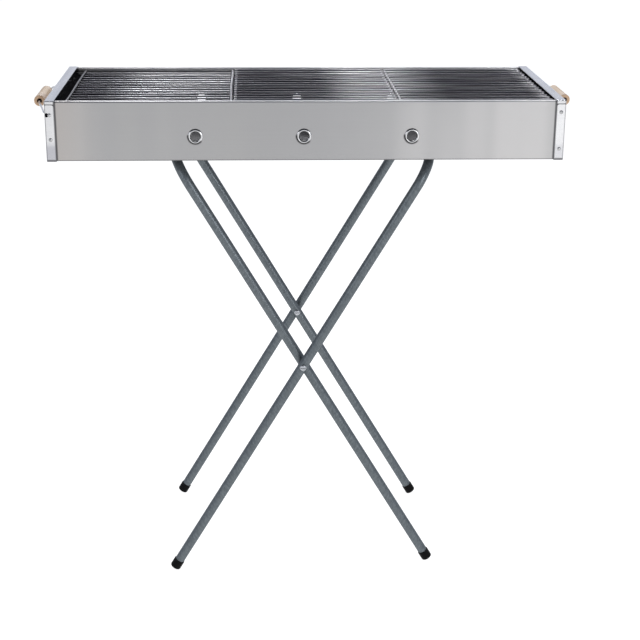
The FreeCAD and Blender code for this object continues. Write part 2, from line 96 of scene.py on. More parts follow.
# Vent eyelets: distance out from the wall, radius from the vent's axis
VENT_OUTLINE = (
    (-0.0018, 0.0075), (0.0010, 0.0075), (0.0022, 0.0082), (0.0025, 0.0096), (0.0018, 0.0112),
    (0.0, 0.0120), (0.0, 0.0112), (0.0011, 0.0107), (0.0017, 0.0096), (0.0014, 0.0087),
    (0.0008, 0.0085), (-0.0010, 0.0085), (-0.0010, 0.0105), (-0.0018, 0.0105),
)

VENT_EASE = 0.0009
VENT_RADIUS = 0.0120        # outer edge of the ring
VENT_SLANT = 0.45           # the painted shade's upper edge falls this much per length to the right

UP = np.array((0.0, 0.0, 1.0))
DEPTH = np.array((0.0, 1.0, 0.0))
LENGTH = np.array((1.0, 0.0, 0.0))


# ------------------------------------------------------------ mesh surfaces

def round_grid(rows, columns, closed=False):
    """Quads of a grid whose columns run round: corner (i, j) is vertex i * columns + j.
    A closed grid joins its last row to its first."""
    i = np.arange(rows if closed else rows - 1)[:, None]
    j = np.arange(columns)[None, :]
    onward = (j + 1) % columns
    following = (i + 1) % rows
    corners = [i * columns + j, following * columns + j,
               following * columns + onward, i * columns + onward]
    return np.stack(np.broadcast_arrays(*corners), -1).reshape(-1, 4)


def fan(ring_start, columns, pole, reverse):
    """Triangles from one ring of a grid to a pole."""
    j = ring_start + np.arange(columns)
    onward = ring_start + (np.arange(columns) + 1) % columns
    sides = (onward, j) if reverse else (j, onward)
    return np.stack([*sides, np.full(columns, pole)], -1)


def copies(faces, count, stride):
    """The same faces for several equal shells, each starting stride vertices after the last."""
    starts = stride * np.arange(count)[:, None, None]
    return (faces[None] + starts).reshape(-1, faces.shape[1])


def shells(grid, low_pole, high_pole):
    """Closed shells from grid[k, i, j], with a pole at each end: every shell k has its rows i
    of points round it, then its two poles. Gives points, quads and triangles."""
    count, rows, columns, _ = grid.shape
    poles = np.stack([low_pole, high_pole], 1)
    points = np.concatenate([grid.reshape(count, -1, 3), poles], 1)
    stride = rows * columns + 2
    quads = copies(round_grid(rows, columns), count, stride)
    ends = np.concatenate([fan(0, columns, rows * columns, False),
                           fan((rows - 1) * columns, columns, rows * columns + 1, True)])
    return points.reshape(-1, 3), quads, copies(ends, count, stride)


def swept_wires(centres, radii, sides):
    """Round wires along many paths: centres[k, i] is station i of wire k, and radii[k, i] its
    radius. A point is centre + radius * (cos a * across + sin a * above), where across is
    square to the path and level, above is square to both, and a runs round the wire."""
    along = np.gradient(centres, axis=1)
    along /= np.linalg.norm(along, axis=2, keepdims=True)
    across = np.cross(along, UP)
    across /= np.linalg.norm(across, axis=2, keepdims=True)
    above = np.cross(across, along)
    a = 2 * math.pi * np.arange(sides)[:, None] / sides
    ring = np.cos(a) * across[:, :, None] + np.sin(a) * above[:, :, None]
    grid = centres[:, :, None] + radii[:, :, None, None] * ring
    return shells(grid, centres[:, 0], centres[:, -1])


def beads(centres, size, rows, columns):
    """Ellipsoids: centre + size * (cos t cos a, cos t sin a, sin t), t from pole to pole."""
    t = math.pi * (np.arange(1, rows + 1) / (rows + 1) - 0.5)[:, None]
    a = 2 * math.pi * np.arange(columns)[None, :] / columns
    ball = np.stack(np.broadcast_arrays(np.cos(t) * np.cos(a), np.cos(t) * np.sin(a), np.sin(t)), -1)
    size = np.array(size)
    grid = centres[:, None, None] + size * ball
    pole = size * UP
    return shells(grid, centres - pole, centres + pole)


def eased(corners, ease, steps=7):
    """A closed outline with eased corners. Each corner c becomes the curve
    (1 - t)^2 p + 2 t (1 - t) c + t^2 q, where p and q lie ease back and ease ahead of it."""
    corners = np.array(corners, float)
    before = np.roll(corners, 1, 0) - corners
    after = np.roll(corners, -1, 0) - corners
    room = np.minimum(np.linalg.norm(before, axis=1), np.linalg.norm(after, axis=1)) * 0.49
    reach = np.minimum(np.broadcast_to(ease, len(corners)), room)[:, None]
    p = corners + reach * before / np.linalg.norm(before, axis=1, keepdims=True)
    q = corners + reach * after / np.linalg.norm(after, axis=1, keepdims=True)
    t = np.linspace(0, 1, steps)[None, :, None]
    curve = (1 - t) ** 2 * p[:, None] + 2 * t * (1 - t) * corners[:, None] + t ** 2 * q[:, None]
    return curve.reshape(-1, 2)


def turned(outline, centre, axis, sides):
    """A closed outline of (distance along the axis, radius) turned round the axis:
    centre + distance * axis + radius * (cos a * first + sin a * second)."""
    axis = np.array(axis, float) / np.linalg.norm(axis)
    first = np.cross(axis, UP if abs(axis[2]) < 0.9 else LENGTH)
    first /= np.linalg.norm(first)
    second = np.cross(axis, first)
    a = 2 * math.pi * np.arange(sides)[None, :, None] / sides
    spoke = np.cos(a) * first + np.sin(a) * second
    distance = outline[:, 0, None, None]
    radius = outline[:, 1, None, None]
    grid = np.array(centre) + distance * axis + radius * spoke
    return grid.reshape(-1, 3), round_grid(len(outline), sides, closed=True)


def turned_solid(outline, centre, axis, sides):
    """As turned(), but the outline is open and runs from the axis out and back to the axis:
    its first and last points are poles."""
    points, _ = turned(outline, centre, axis, sides)
    grid = points.reshape(1, len(outline), sides, 3)
    return shells(grid[:, 1:-1], grid[:, 0, 0], grid[:, -1, 0])


def enclosed_volume(points, faces):
    """Sum over triangles of a . (b x c) / 6, which is positive if the faces point outwards."""
    total = 0.0
    for group in faces:
        for n in range(1, group.shape[1] - 1):
            a, b, c = points[group[:, 0]], points[group[:, n]], points[group[:, n + 1]]
            total += float(np.einsum("ij,ij->", a, np.cross(b, c))) / 6
    return total


def add_piece(name, points, faces, finish, body, replaced):
    """Makes the mesh object, with outward smooth faces and the finish, parents it to its body and hides the
    parts it replaces.
    """
    if enclosed_volume(points - points.mean(0), faces) < 0:
        faces = [group[:, ::-1] for group in faces]
    mesh = bpy.data.meshes.new(name)
    mesh.from_pydata(points.tolist(), [], [f for group in faces for f in group.tolist()])
    mesh.polygons.foreach_set("use_smooth", np.ones(len(mesh.polygons), bool))
    mesh.update()
    piece = bpy.data.objects.new(name, mesh)
    bpy.context.scene.collection.objects.link(piece)
    mesh.materials.append(finish)
    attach(piece, body)
    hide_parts(*replaced)


def joined(*parts):
    """Several (points, quads, triangles) as one."""
    starts = np.cumsum([0] + [len(p[0]) for p in parts[:-1]])
    points = np.concatenate([p[0] for p in parts])
    quads = np.concatenate([p[1] + s for p, s in zip(parts, starts)])
    triangles = np.concatenate([p[2] + s for p, s in zip(parts, starts)])
    return points, [quads, triangles]


# ---------------------------------------------------------------- materials

# Colours: linear red, green and blue
SHEET = {"dim reflection band": (0.360, 0.357, 0.355), "bright reflection band": (0.425, 0.422, 0.424),
         # "middle" and "right" are painted reflection: a dimmer middle and a brighter right end of the sheet.
         "middle": (0.310, 0.309, 0.314), "right": (0.485, 0.478, 0.475), "ripple": (0.345, 0.343, 0.346),
         "streak": (0.56, 0.56, 0.565), "warm end": (0.42, 0.385, 0.355), "vent grime": (0.05, 0.05, 0.052),
         "dark bend and cap shadow": (0.07, 0.07, 0.073), "soot_and_shade": (0.026, 0.026, 0.029), "ash": (0.085, 0.085, 0.092)}
CAP = {"dark cloud": (0.60, 0.60, 0.61), "light cloud": (0.70, 0.70, 0.705), "streak": (0.52, 0.52, 0.54),
       "shade": (0.40, 0.40, 0.435), "painted shade": (0.13, 0.13, 0.135),
       "soot_and_shade": (0.014, 0.014, 0.015), "ash": (0.05, 0.049, 0.051)}
# The wire's "bright" colour is a painted highlight.
WIRE = {"burnt": (0.120, 0.116, 0.130), "dull": (0.205, 0.199, 0.218), "bright": (0.66, 0.645, 0.665),
        # "sooty" is painted shade on the left grate's cross wires.
        "sooty": (0.06, 0.058, 0.06)}
WOOD = {"pale": (0.80, 0.64, 0.47), "grain": (0.60, 0.42, 0.27), "blush": (0.74, 0.60, 0.53),
        "fleck": (0.36, 0.21, 0.12), "end grain": (0.50, 0.31, 0.17), "dark bore": (0.035, 0.018, 0.010)}
PAINT = {"dark": (0.110, 0.126, 0.137), "light": (0.158, 0.178, 0.190), "dimple": (0.072, 0.083, 0.091),
         "cloud": (0.140, 0.157, 0.163)}
RUBBER = {"dark": (0.002, 0.002, 0.0023), "light": (0.006, 0.006, 0.0063), "dust": (0.03, 0.031, 0.033)}
EYELET = {"dark": (0.54, 0.54, 0.545), "light": (0.68, 0.68, 0.68), "painted shade": (0.035, 0.035, 0.037)}

# A mask changes from one side of a sheet to the other at this depth, give or take the second value
SHEET_SKIN = (0.0004, 0.00005)
CAP_SKIN = (0.0011, 0.0002)


class Finish:
    """A finish for one kind of part, worked out from object coordinates in metres."""

    def __init__(self, name, **sockets):
        self.material = bpy.data.materials.new(name)
        self.material.use_nodes = True
        self.tree = self.material.node_tree
        self.shader = self.tree.nodes["Principled BSDF"]
        for socket, value in sockets.items():
            self.shader.inputs[socket.replace("_", " ")].default_value = value
        self.place = self.add("ShaderNodeTexCoord").outputs["Object"]
        self.height = None

    def add(self, kind, **settings):
        node = self.tree.nodes.new(kind)
        for key, value in settings.items():
            setattr(node, key, value)
        return node

    def feed(self, socket, value):
        if isinstance(value, bpy.types.NodeSocket):
            self.tree.links.new(value, socket)
        else:
            socket.default_value = value

    def mapped(self, scale, turn=(0, 0, 0), shift=(0, 0, 0)):
        """Object coordinates, shifted, turned and then stretched."""
        node = self.add("ShaderNodeMapping")
        self.feed(node.inputs["Vector"], self.place)
        node.inputs["Location"].default_value = shift
        node.inputs["Rotation"].default_value = turn
        if scale == (1, 1, 1):
            return node.outputs["Vector"]
        stretch = self.add("ShaderNodeVectorMath", operation="MULTIPLY")
        self.feed(stretch.inputs[0], node.outputs["Vector"])
        stretch.inputs[1].default_value = scale
        return stretch.outputs["Vector"]

    def noise(self, vector, scale=1.0, detail=2.0, roughness=0.5, distortion=0.0):
        node = self.add("ShaderNodeTexNoise")
        self.feed(node.inputs["Vector"], vector)
        node.inputs["Scale"].default_value = scale
        node.inputs["Detail"].default_value = detail
        node.inputs["Roughness"].default_value = roughness
        node.inputs["Distortion"].default_value = distortion
        return node.outputs["Fac"]

    def cells(self, vector, scale, smoothness=0.6):
        node = self.add("ShaderNodeTexVoronoi", feature="SMOOTH_F1")
        self.feed(node.inputs["Vector"], vector)
        node.inputs["Scale"].default_value = scale
        node.inputs["Smoothness"].default_value = smoothness
        return node.outputs["Distance"]

    def span(self, value, low, high, to_low=0.0, to_high=1.0):
        """value carried smoothly from low..high to to_low..to_high, held at both ends."""
        node = self.add("ShaderNodeMapRange", interpolation_type="SMOOTHSTEP")
        for name, v in (("Value", value), ("From Min", low), ("From Max", high),
                        ("To Min", to_low), ("To Max", to_high)):
            self.feed(node.inputs[name], v)
        return node.outputs["Result"]

    def maths(self, operation, first, second=0.0):
        node = self.add("ShaderNodeMath", operation=operation)
        self.feed(node.inputs[0], first)
        self.feed(node.inputs[1], second)
        return node.outputs["Value"]

    def both(self, first, *others):
        """1 where every mask is 1: their product."""
        for other in others:
            first = self.maths("MULTIPLY", first, other)
        return first

    def either(self, first, *others):
        """1 where any mask is 1: the greatest of them."""
        for other in others:
            first = self.maths("MAXIMUM", first, other)
        return first

    def length(self, vector):
        node = self.add("ShaderNodeVectorMath", operation="LENGTH")
        self.feed(node.inputs[0], vector)
        return node.outputs["Value"]

    def coordinate(self, axis, vector=None):
        node = self.add("ShaderNodeSeparateXYZ")
        self.feed(node.inputs["Vector"], vector or self.place)
        return node.outputs[axis]

    def away(self, axis, vector=None):
        """Distance from the middle, along one axis."""
        return self.maths("ABSOLUTE", self.coordinate(axis, vector))

    def blend(self, factor, first, second):
        """first colour where factor is 0, second where it is 1."""
        node = self.add("ShaderNodeMix", data_type="RGBA")
        self.feed(node.inputs[0], factor)
        for socket, colour in ((node.inputs[6], first), (node.inputs[7], second)):
            self.feed(socket, colour if isinstance(colour, bpy.types.NodeSocket) else (*colour, 1.0))
        return node.outputs[2]

    def colour(self, value):
        self.feed(self.shader.inputs["Base Color"], value)

    def rough(self, value):
        self.feed(self.shader.inputs["Roughness"], value)

    def relief(self, height, depth):
        """Raises the surface by height times depth, on top of any earlier relief."""
        node = self.add("ShaderNodeBump")
        self.feed(node.inputs["Height"], height)
        node.inputs["Distance"].default_value = depth
        node.inputs["Strength"].default_value = 1.0
        if self.height:
            self.tree.links.new(self.height, node.inputs["Normal"])
        self.height = node.outputs["Normal"]
        self.feed(self.shader.inputs["Normal"], self.height)


def brushed(finish, fine=(14, 2400, 2400), coarse=(5, 420, 420)):
    """Long fine scratches and broader streaks, both along the trough."""
    scratches = finish.noise(finish.mapped(fine), detail=3.0, roughness=0.6)
    streaks = finish.noise(finish.mapped(coarse), detail=3.0, roughness=0.65)
    return scratches, streaks


def trough_steel():
    """Horizontally brushed stainless sheet, slightly wavy, with painted reflection in soft vertical bands, a
    dimmer middle and a brighter right end; soot inside, painted near black to stand in for the shade there;
    darker along the bottom bend, painted shadow beside the end caps' edges and under the vents, and a warm
    left end."""
    f = Finish("brushed trough steel", Metallic=1.0, Anisotropic=0.35)
    scratches, streaks = brushed(f)
    # Painted reflection: soft vertical bands of lighter and darker steel, as a wavy sheet would mirror its
    # surroundings.
    bands = f.noise(f.mapped((5.5, 0.3, 0.5)), detail=1.0)
    ripples = f.noise(f.mapped((15, 0.15, 0.3)), detail=1.0)
    steel = f.blend(f.span(bands, 0.34, 0.66), SHEET["dim reflection band"], SHEET["bright reflection band"])
    # Painted reflection: the sheet dimmer in its middle and brighter towards its right end.
    middle = f.span(f.away("X"), 0.02, 0.16, 0.55, 0.0)
    steel = f.blend(middle, steel, SHEET["middle"])
    steel = f.blend(f.span(f.coordinate("X"), 0.04, 0.30), steel, SHEET["right"])
    steel = f.blend(f.span(ripples, 0.40, 0.60, 0.0, 0.5), steel, SHEET["ripple"])
    steel = f.blend(f.span(streaks, 0.4, 0.8, 0.0, 0.03), steel, SHEET["streak"])
    # Painted shadow under each vent's ring.
    for place in BARS_ON_TOP:
        steel = f.blend(vent_shade(f, place), steel, SHEET["vent grime"])
    warm_end = f.span(f.coordinate("X"), -0.395, -0.30, 0.55, 0.0)
    steel = f.blend(warm_end, steel, SHEET["warm end"])
    low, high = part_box("trough_shell")
    # Darker along the bottom bend, and painted shadow on the sheet beside the end caps' edges.
    bend = f.span(f.coordinate("Z"), low.z + 0.0006, low.z + 0.0024, 0.8, 0.0)
    beside_caps = f.span(f.away("X"), cap_edge() - 0.0034, cap_edge() - 0.0012, 0.0, 0.9)
    steel = f.blend(f.either(bend, beside_caps), steel, SHEET["dark bend and cap shadow"])
    skin, margin = SHEET_SKIN
    wall = f.span(f.away("Y"), high.y - skin - margin, high.y - skin + margin, 1.0, 0.0)
    floor = f.span(f.coordinate("Z"), low.z + skin - margin, low.z + skin + margin)
    under_lip = f.span(f.coordinate("Z"), high.z - 0.012, high.z - 0.0056, 1.0, 0.0)
    inside = f.both(wall, floor, under_lip)
    # Soot inside, painted near black to stand in for the shade there.
    smoke = f.noise(f.mapped((14, 14, 22)), detail=5.0, roughness=0.6)
    soot_and_shade = f.blend(f.span(smoke, 0.35, 0.7), SHEET["soot_and_shade"], SHEET["ash"])
    f.colour(f.blend(inside, steel, soot_and_shade))
    gloss = f.span(streaks, 0.3, 0.7, 0.276, 0.284)
    f.rough(f.span(inside, 0.0, 1.0, gloss, f.span(smoke, 0.3, 0.7, 0.42, 0.65)))
    f.relief(f.noise(f.mapped((7, 3, 5)), detail=1.0), 0.0011)
    f.relief(scratches, 0.0000015)
    return f.material


def from_vent(finish, node):
    """Vector from a vent's axis, its length, and its upward part, which also grows to the right."""
    low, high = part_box(node)
    centre = (low + high) / 2
    offset = finish.mapped((1, 0, 1), shift=(-centre.x, 0.0, -centre.z))
    aslant = finish.maths("MULTIPLY", finish.coordinate("X", offset), VENT_SLANT)
    above = finish.maths("ADD", finish.coordinate("Z", offset), aslant)
    return offset, finish.length(offset), above


def vent_shade(finish, place):
    """Painted shadow on the sheet along the lower left of a vent's ring."""
    radius, above = from_vent(finish, "front_vent_" + place)[1:]
    below_ring = finish.span(radius, VENT_RADIUS - 0.0002, VENT_RADIUS + 0.0022, 0.85, 0.0)
    return finish.both(below_ring, finish.span(above, -0.006, -0.001, 1.0, 0.0))


def cap_steel():
    """Bright stainless of the end caps, with painted shade on their lower part, most on the left cap, and
    along the bottom, cut edges and end bends, and soot inside, painted near black to stand in for the shade
    there.
    """
    f = Finish("bright end cap steel", Metallic=1.0, Anisotropic=0.2)
    scratches, streaks = brushed(f, (40, 2600, 1800), (12, 500, 260))
    clouds = f.noise(f.mapped((16, 10, 18)), detail=3.0)
    steel = f.blend(f.span(clouds, 0.3, 0.7), CAP["dark cloud"], CAP["light cloud"])
    steel = f.blend(f.span(streaks, 0.4, 0.8, 0.0, 0.12), steel, CAP["streak"])
    low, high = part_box("right_end_cap")
    shaded = f.span(f.coordinate("Z"), low.z + 0.020, low.z + 0.032, 0.75, 0.0)
    shaded = f.both(shaded, f.span(f.coordinate("X"), -0.1, 0.1, 1.0, 0.35))
    steel = f.blend(shaded, steel, CAP["shade"])
    ahead = f.away("X")
    # Painted shade along the bottom, the cut edge and the end bend of the caps' outer faces.
    shaded_bottom = f.span(f.coordinate("Z"), low.z + 0.0024, low.z + 0.0046, 0.95, 0.0)
    cut_edge = f.span(ahead, cap_edge() + 0.0006, cap_edge() + 0.0018, 0.8, 0.0)
    end_bend = f.span(ahead, high.x - 0.0024, high.x - 0.0008, 0.0, 0.7)
    outer_face = f.span(f.away("Y"), high.y - 0.0006, high.y - 0.0004)
    shaded_edges = f.both(f.either(shaded_bottom, cut_edge, end_bend), outer_face)
    steel = f.blend(shaded_edges, steel, CAP["painted shade"])
    skin, margin = CAP_SKIN
    short_of_end = f.span(ahead, high.x - skin - margin, high.x - skin + margin, 1.0, 0.0)
    below_top = f.span(f.coordinate("Z"), high.z - skin - margin, high.z - skin + margin, 1.0, 0.0)
    between_walls = f.span(f.away("Y"), high.y - skin - margin, high.y - skin + margin, 1.0, 0.0)
    above_floor = f.span(f.coordinate("Z"), low.z + skin - margin, low.z + skin + margin)
    burnt = f.both(short_of_end, below_top, between_walls, above_floor)
    # Soot inside, painted near black to stand in for the shade there.
    smoke = f.noise(f.mapped((24, 24, 30)), detail=5.0, roughness=0.6)
    soot_and_shade = f.blend(f.span(smoke, 0.35, 0.7), CAP["soot_and_shade"], CAP["ash"])
    f.colour(f.blend(burnt, steel, soot_and_shade))
    gloss = f.span(streaks, 0.3, 0.7, 0.17, 0.22)
    f.rough(f.span(burnt, 0.0, 1.0, gloss, f.span(smoke, 0.3, 0.7, 0.5, 0.7)))
    f.relief(clouds, 0.00018)
    f.relief(scratches, 0.000006)
    return f.material


def cap_edge():
    """Distance from the trough's middle to the inner edge of an end cap's flanges."""
    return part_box("right_end_cap")[0].x


# Painted highlights on the grate wire: the places along the trough where each fades in and where it fades out
# again
PAINTED_HIGHLIGHTS = (((-0.33, -0.25), (-0.118, -0.106)), ((0.02, 0.09), (0.14, 0.24)))
# Painted highlight on the right grate's tips: where it fades in along the trough
RIGHT_TIP_HIGHLIGHT = (0.354, 0.378)
JOINT_TIP_HIGHLIGHT = {-0.114: 0.35, 0.143: 0.8}      # joint of two grates: strength of the painted highlight on the tips beyond it
CROSS_SHADE_SHIFT = 0.0008                  # the inner cross wire's painted shade lies this far to its left


def grate_wire():
    """Drawn wire, dulled by the coals, with painted highlights on two stretches and on some of the bars'
    tips;
    the left grate's cross wires carry painted shade."""
    f = Finish("heat-dulled grate wire", Metallic=1.0)
    x = f.coordinate("X")
    # bright: painted highlights, standing in for the lamps' reflections on the bars
    stretches = [f.both(f.span(x, *start), f.span(x, *end, 1.0, 0.0)) for start, end in PAINTED_HIGHLIGHTS]
    bright = f.either(*stretches, f.span(x, *RIGHT_TIP_HIGHLIGHT, 0.0, 0.8))
    burn = f.noise(f.mapped((5, 48, 3)), detail=1.5)
    bright = f.both(bright, f.span(burn, 0.3, 0.62, 0.40, 1.0))
    for joint, shine in JOINT_TIP_HIGHLIGHT.items():
        beyond = f.span(f.maths("SUBTRACT", x, joint), 0.003, 0.008, shine, 0.0)
        tips = f.both(beyond, f.maths("GREATER_THAN", x, joint))
        bright = f.either(bright, tips)
    dull = f.blend(f.span(burn, 0.34, 0.66), WIRE["burnt"], WIRE["dull"])
    wire = f.blend(bright, dull, WIRE["bright"])
    low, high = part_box("left_grate")
    from_outer = f.maths("SUBTRACT", x, low.x + CROSS_INSET)
    from_inner = f.maths("SUBTRACT", x, high.x - CROSS_INSET - CROSS_SHADE_SHIFT)
    # Painted shade on the left grate's cross wires and, for the inner one, on the bars just to its left.
    outer_cross = f.span(f.maths("ABSOLUTE", from_outer), 0.0018, 0.0030, 0.85, 0.0)
    inner_cross = f.span(f.maths("ABSOLUTE", from_inner), 0.0014, 0.0020, 0.5, 0.0)
    f.colour(f.blend(f.either(outer_cross, inner_cross), wire, WIRE["sooty"]))
    f.rough(f.span(burn, 0.3, 0.7, 0.35, 0.33))
    return f.material


def beech(centre):
    """Turned beech with its grain along the grip, darker end grain, and darker round the bore."""
    f = Finish("turned beech", Specular_IOR_Level=0.35, Coat_Weight=0.06, Coat_Roughness=0.35)
    shift = tuple(-centre)
    grain = f.noise(f.mapped((150, 9, 110), shift=shift), detail=4.0, roughness=0.6, distortion=0.5)
    fleck = f.noise(f.mapped((1500, 190, 1500), shift=shift), detail=2.0)
    blush = f.noise(f.mapped((30, 14, 30), shift=shift), detail=2.0)
    wood = f.blend(f.span(grain, 0.3, 0.72), WOOD["pale"], WOOD["grain"])
    wood = f.blend(f.span(blush, 0.4, 0.75, 0.0, 0.45), wood, WOOD["blush"])
    wood = f.blend(f.span(fleck, 0.6, 0.72, 0.0, 0.45), wood, WOOD["fleck"])
    ahead = f.away("Y", f.mapped((1, 1, 1), shift=shift))
    low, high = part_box("left_grip")
    half = (high.y - low.y) / 2
    end = f.span(ahead, half - 0.0012, half - 0.0002)
    wood = f.blend(f.both(end, 0.75), wood, WOOD["end grain"])
    from_wire = f.length(f.mapped((1, 0, 1), shift=shift))
    # Darker round the bore.
    bore = f.span(from_wire, GRIP_BORE + 0.0001, GRIP_BORE + 0.0013, 1.0, 0.0)
    f.colour(f.blend(bore, wood, WOOD["dark bore"]))
    f.rough(f.span(grain, 0.3, 0.7, 0.42, 0.58))
    f.relief(grain, 0.00012)
    f.relief(fleck, 0.00006)
    return f.material


def hammer_paint(name, lean):
    """Hammered slate enamel: fine shallow dimples drawn out along the leg, faintly mottled."""
    f = Finish(name, Metallic=0.55, Specular_IOR_Level=0.3, Specular_Tint=(0.35, 0.37, 0.4, 1.0))
    along = f.mapped((1, 1, 0.3), turn=(0, lean, 0))
    dimples = f.cells(along, 520.0)
    flow = f.noise(along, scale=330.0, detail=3.0, roughness=0.55)
    cloud = f.noise(along, scale=45.0, detail=1.0)
    paint = f.blend(f.span(flow, 0.32, 0.68), PAINT["dark"], PAINT["light"])
    paint = f.blend(f.span(dimples, 0.3, 0.85, 0.0, 0.35), paint, PAINT["dimple"])
    paint = f.blend(f.span(cloud, 0.4, 0.7, 0.0, 0.3), paint, PAINT["cloud"])
    f.colour(paint)
    f.rough(f.span(flow, 0.3, 0.7, 0.31, 0.40))
    f.relief(dimples, 0.00006)
    f.relief(flow, 0.00003)
    return f.material


MOUTH_DUST = (0.0155, 0.0205)   # heights between which the dust on a foot begins


def foot_rubber():
    """Moulded black rubber, a little dusty round its mouth."""
    f = Finish("moulded black rubber", Specular_IOR_Level=0.08)
    grain = f.noise(f.place, scale=1400.0, detail=3.0)
    dust = f.noise(f.place, scale=160.0, detail=3.0)
    rubber = f.blend(f.span(dust, 0.45, 0.75, 0.0, 0.5), RUBBER["dark"], RUBBER["light"])
    mouth = f.span(f.coordinate("Z"), *MOUTH_DUST, 0.0, 0.35)
    f.colour(f.blend(mouth, rubber, RUBBER["dust"]))
    f.rough(f.span(dust, 0.3, 0.7, 0.42, 0.6))
    f.relief(grain, 0.00003)
    return f.material


def eyelet_metal(node):
    """Bright pressed ring, with painted shade in its throat and above and under its outer edge."""
    f = Finish("pressed eyelet of " + node.replace("_", " "), Metallic=1.0)
    offset, radius, above = from_vent(f, node)
    marks = f.noise(f.place, scale=700.0, detail=3.0)
    # Painted shade: the ring's outer edge below and on top, and its throat.
    underneath = f.span(above, -0.005, 0.0, 1.0, 0.0)
    on_top = f.span(f.coordinate("Z", offset), 0.0055, 0.0085, 0.0, 0.85)
    rim = f.both(f.span(radius, 0.0097, 0.0104), f.either(underneath, on_top))
    side = f.either(f.span(above, -0.002, 0.004), f.span(above, -0.0072, -0.0045, 1.0, 0.2))
    throat = f.both(f.span(radius, 0.0083, 0.0092, 0.9, 0.0), side)
    steel = f.blend(f.span(marks, 0.3, 0.7), EYELET["dark"], EYELET["light"])
    f.colour(f.blend(f.either(rim, throat), steel, EYELET["painted shade"]))
    f.rough(f.span(marks, 0.3, 0.7, 0.14, 0.26))
    f.relief(marks, 0.00002)
    return f.material


def plain_metal(name, dark, bright, gloss, grain, bump):
    """Bright metal with faint clouds and fine marks; gloss is its smoothest roughness."""
    f = Finish(name, Metallic=1.0)
    marks = f.noise(f.place, scale=grain, detail=3.0, roughness=0.6)
    clouds = f.noise(f.place, scale=grain / 9, detail=2.0)
    f.colour(f.blend(f.span(clouds, 0.3, 0.7), dark, bright))
    f.rough(f.span(marks, 0.3, 0.7, gloss, gloss + 0.14))
    f.relief(marks, bump)
    return f.material


def dress(finish, *names):
    """Puts a finish on CAD nodes."""
    for name in names:
        for material_slot in nodes[name].material_slots:
            material_slot.material = finish


# ------------------------------------------------------------------ grates

def bar_stations(length, radius, count):
    """Distances along a wire of that length, and its radius there, with clipped, eased ends."""
    ends = np.array((0.0, 0.12, 0.45)) * radius
    shrink = np.array((0.62, 0.88, 1.0))
    middle = np.linspace(radius, length - radius, count)
    distance = np.concatenate([ends, middle, length - ends[::-1]])
    return distance, radius * np.concatenate([shrink, np.ones(count), shrink[::-1]])


def sagged(y, reach):
    """Drop at a place across the trough: GRATE_SAG * (1 - (y / reach)^2)."""
    return -GRATE_SAG * (1 - (y / reach) ** 2)


def make_grate(place, finish):
    """Long bars, two cross wires and a weld at each crossing. A bar's path is
    (x, y + sway, z + sag + bow - droop at its tips), each bend a slow sine with its own phase."""
    low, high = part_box(place + "_grate")
    on_top = BARS_ON_TOP[place]
    bar_z = high.z - BAR_RADIUS if on_top else low.z + BAR_RADIUS
    cross_z = low.z + CROSS_RADIUS if on_top else high.z - CROSS_RADIUS
    reach = high.y
    luck = np.random.default_rng(sum(place.encode()))
    phase = luck.uniform(0, 2 * math.pi, (4, BAR_COUNT, 1))
    y = (np.arange(BAR_COUNT) - (BAR_COUNT - 1) / 2)[:, None] * BAR_PITCH
    distance, radius = bar_stations(high.x - low.x, BAR_RADIUS, BAR_STEPS)
    s = distance / distance[-1]
    sway = BAR_SWAY * np.sin(SWAY_WAVES * math.pi * s + phase[0]) * np.sin(math.pi * s + phase[1])
    bow = BAR_BOW * np.sin(BOW_WAVES * math.pi * s + phase[2])
    to_tip = np.minimum(distance, distance[-1] - distance)
    droop = TIP_DROP[place] * np.clip(1 - to_tip / TIP_REACH, 0, 1) ** 2
    x = np.broadcast_to(low.x + distance, sway.shape)
    centres = np.stack([x, y + sway, bar_z + sagged(y, reach) + bow - droop], -1)
    bars = swept_wires(centres, np.broadcast_to(radius, sway.shape), WIRE_SIDES)

    cross_x = np.array((low.x + CROSS_INSET, high.x - CROSS_INSET))[:, None]
    along, thick = bar_stations(2 * reach, CROSS_RADIUS, CROSS_STEPS)
    across_y = np.broadcast_to(along - reach, (2, len(along)))
    bend = CROSS_BEND * np.sin(BEND_WAVES * math.pi * along / along[-1] + phase[3, :2])
    cross_path = np.stack([cross_x + bend, across_y, cross_z + sagged(across_y, reach)], -1)
    crosses = swept_wires(cross_path, np.broadcast_to(thick, across_y.shape), WIRE_SIDES)

    touch_z = (bar_z + cross_z) / 2
    weld_x, weld_y = [g.ravel() for g in np.meshgrid(cross_x[:, 0], y[:, 0])]
    spots = np.stack([weld_x, weld_y, touch_z + sagged(weld_y, reach)], -1)
    spots += luck.normal(0, WELD_SCATTER, spots.shape)
    points, faces = joined(bars, crosses, beads(spots, WELD_SIZE, 5, 10))
    name = place + "_grate"
    add_piece(name + "_wires", points, faces, finish, name, [name])


# ---------------------------------------------------- grips, feet and vents

